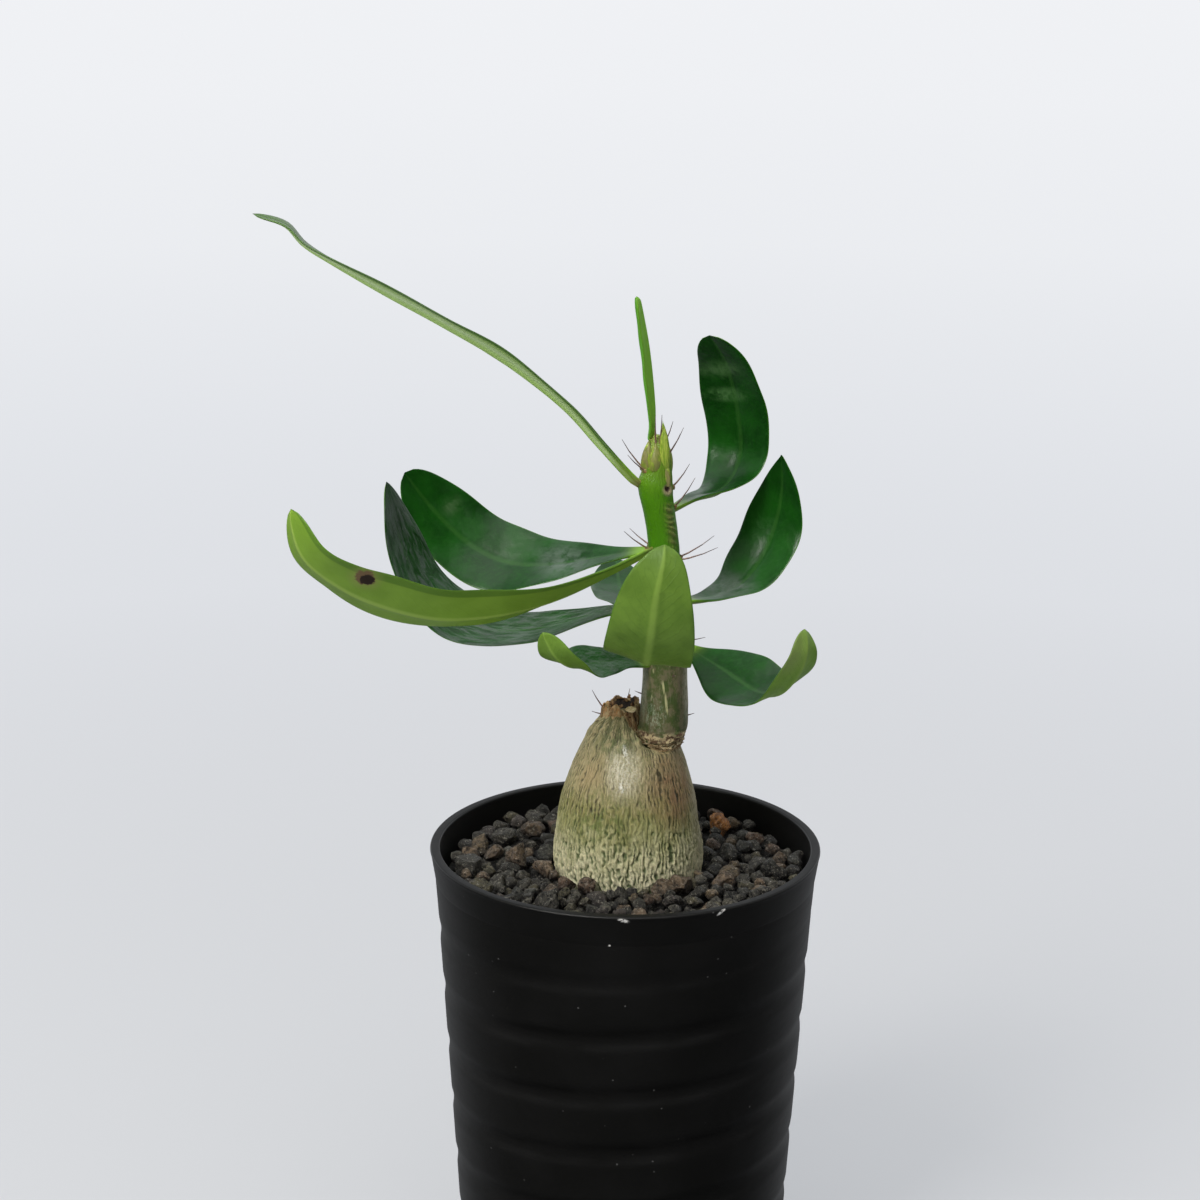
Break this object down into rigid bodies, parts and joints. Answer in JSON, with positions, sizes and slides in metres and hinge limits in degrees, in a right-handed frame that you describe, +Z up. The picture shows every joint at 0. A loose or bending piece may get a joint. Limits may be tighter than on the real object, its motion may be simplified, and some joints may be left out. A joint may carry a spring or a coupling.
{
  "type": "potted pachypodium",
  "caption": "Young caudiciform plant: a swollen trunk with a leafy, spiny shoot, in gritty soil in a tall tapered black pot.",
  "frame": {"origin": "the middle of the pot's foot, on the surface that the pot stands on", "axes": "+Z up, -Y to the front, where the front leaf points, +X to the right of someone facing the front"},
  "size_m": [0.1264, 0.1009, 0.2578],
  "materials": {
    "pot": "satin black moulded plastic with one shallow winding groove",
    "grit": "matt dark grey and brown pumice and lava grit",
    "trunk": "pale olive-tan bark with fine upright wrinkles and green cracks",
    "shoot": "green succulent stem, greyer and barky at the foot",
    "leaf": "leathery leaf, glossy dark green above and matt light green below"
  },
  "bodies": {
    "root": {"pot": "pot", "substrate": "grit", "caudex": "trunk", "stem": "shoot", "leaf_back": "leaf", "leaf_front": "leaf", "leaf_left_back": "leaf", "leaf_left_front": "leaf", "leaf_left_high": "leaf", "leaf_left_low": "leaf", "leaf_left_middle": "leaf", "leaf_right_high": "leaf", "leaf_right_low": "leaf", "leaf_right_middle": "leaf", "leaf_young": "leaf"}
  },
  "joints": []
}
